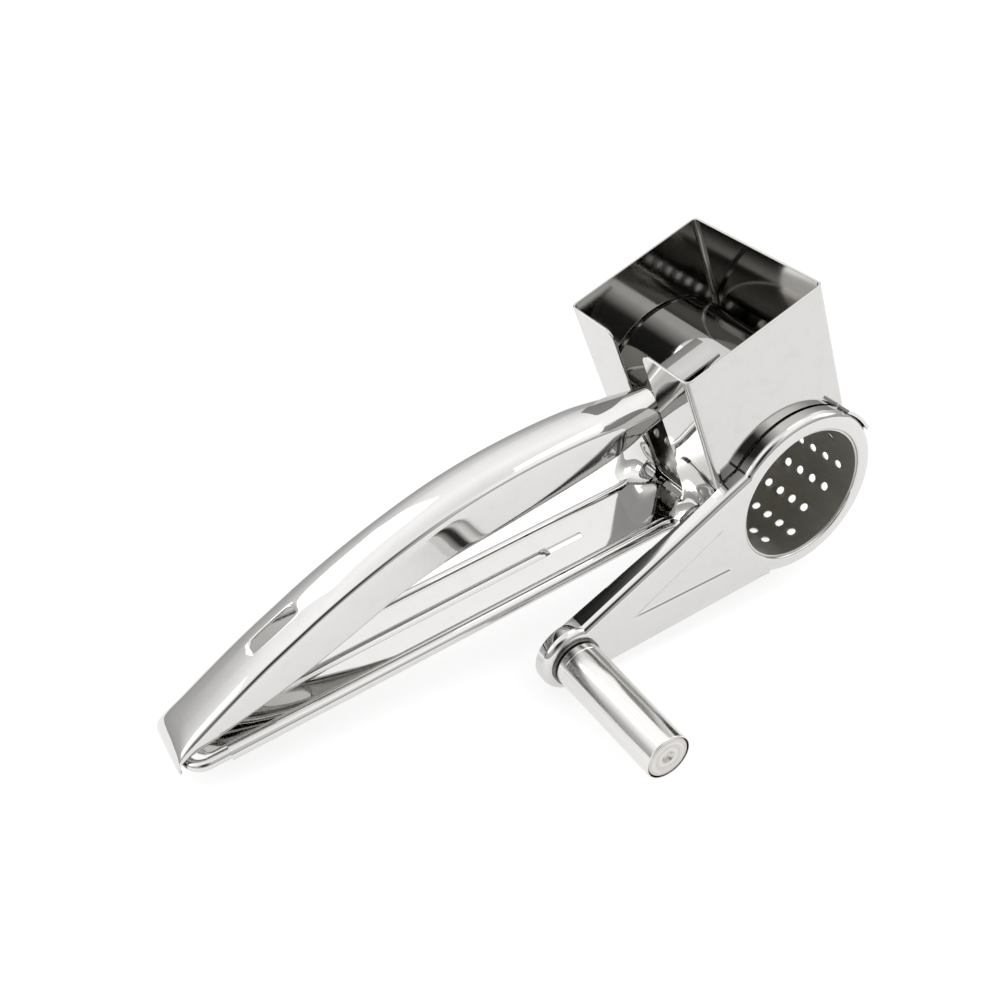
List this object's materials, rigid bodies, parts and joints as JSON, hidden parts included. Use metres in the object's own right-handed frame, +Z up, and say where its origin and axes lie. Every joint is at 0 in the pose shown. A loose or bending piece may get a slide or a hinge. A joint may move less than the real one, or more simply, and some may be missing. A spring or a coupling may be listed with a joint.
{
  "type": "rotary cheese grater",
  "caption": "Hand-held rotary cheese grater: square hopper over a perforated crank-turned drum, with an arched press arm hinged to a wire-edged lower handle.",
  "frame": {"origin": "middle of the outline, on the plane through the part's lowest point", "axes": "+X along the handle towards the hopper, +Y along the drum's axis away from the crank, +Z up"},
  "size_m": [0.1992, 0.0976, 0.0924],
  "materials": {
    "polished_sheet": "mirror-polished stainless sheet",
    "drum_sheet": "bright stainless sheet with faint drawn lines",
    "bearing_steel": "turned steel",
    "spring_steel": "dark spring steel",
    "bright_wire": "bright drawn wire",
    "satin_knob": "satin, brushed lengthwise",
    "turned_cap": "faced on a lathe, fine concentric lines",
    "nylon": "natural nylon"
  },
  "bodies": {
    "body": {"hopper": "polished_sheet", "drum_collar": "bearing_steel", "far_bush": "bearing_steel", "lower_handle": "polished_sheet", "rolled_edge_near": "polished_sheet", "rolled_edge_far": "polished_sheet", "rear_saddle": "polished_sheet", "frame_wire": "bright_wire"},
    "press_arm": {"upper_handle": "polished_sheet", "hinge_curl": "polished_sheet", "press_tongue": "polished_sheet", "pusher_plate": "polished_sheet"},
    "drum_crank": {"grating_drum": "drum_sheet", "journal_band": "drum_sheet", "drum_end_cap": "drum_sheet", "pivot_pin": "bearing_steel", "thrust_washer": "bearing_steel", "pivot_clip": "spring_steel", "crank_plate": "polished_sheet", "drum_clip": "polished_sheet", "knob_axle": "bearing_steel", "axle_clip": "spring_steel", "knob_washer": "spring_steel"},
    "knob": {"knob_sleeve": "satin_knob", "knob_bushes": "nylon", "knob_end_cap": "turned_cap"}
  },
  "joints": [
    {"name": "press_hinge", "type": "hinge", "parent": "body", "child": "press_arm", "pos_m": [-0.09641, 0.0198, 0.00852], "axis": [0, -1, 0], "range_deg": [-5, 75]},
    {"name": "crank_turn", "type": "hinge", "parent": "body", "child": "drum_crank", "pos_m": [0.07464, 0.0198, 0.03163], "axis": [0, 1, 0], "continuous": true},
    {"name": "knob_spin", "type": "hinge", "parent": "drum_crank", "child": "knob", "pos_m": [-0.00005, -0.0302, 0.0095], "axis": [0, 1, 0], "continuous": true}
  ]
}
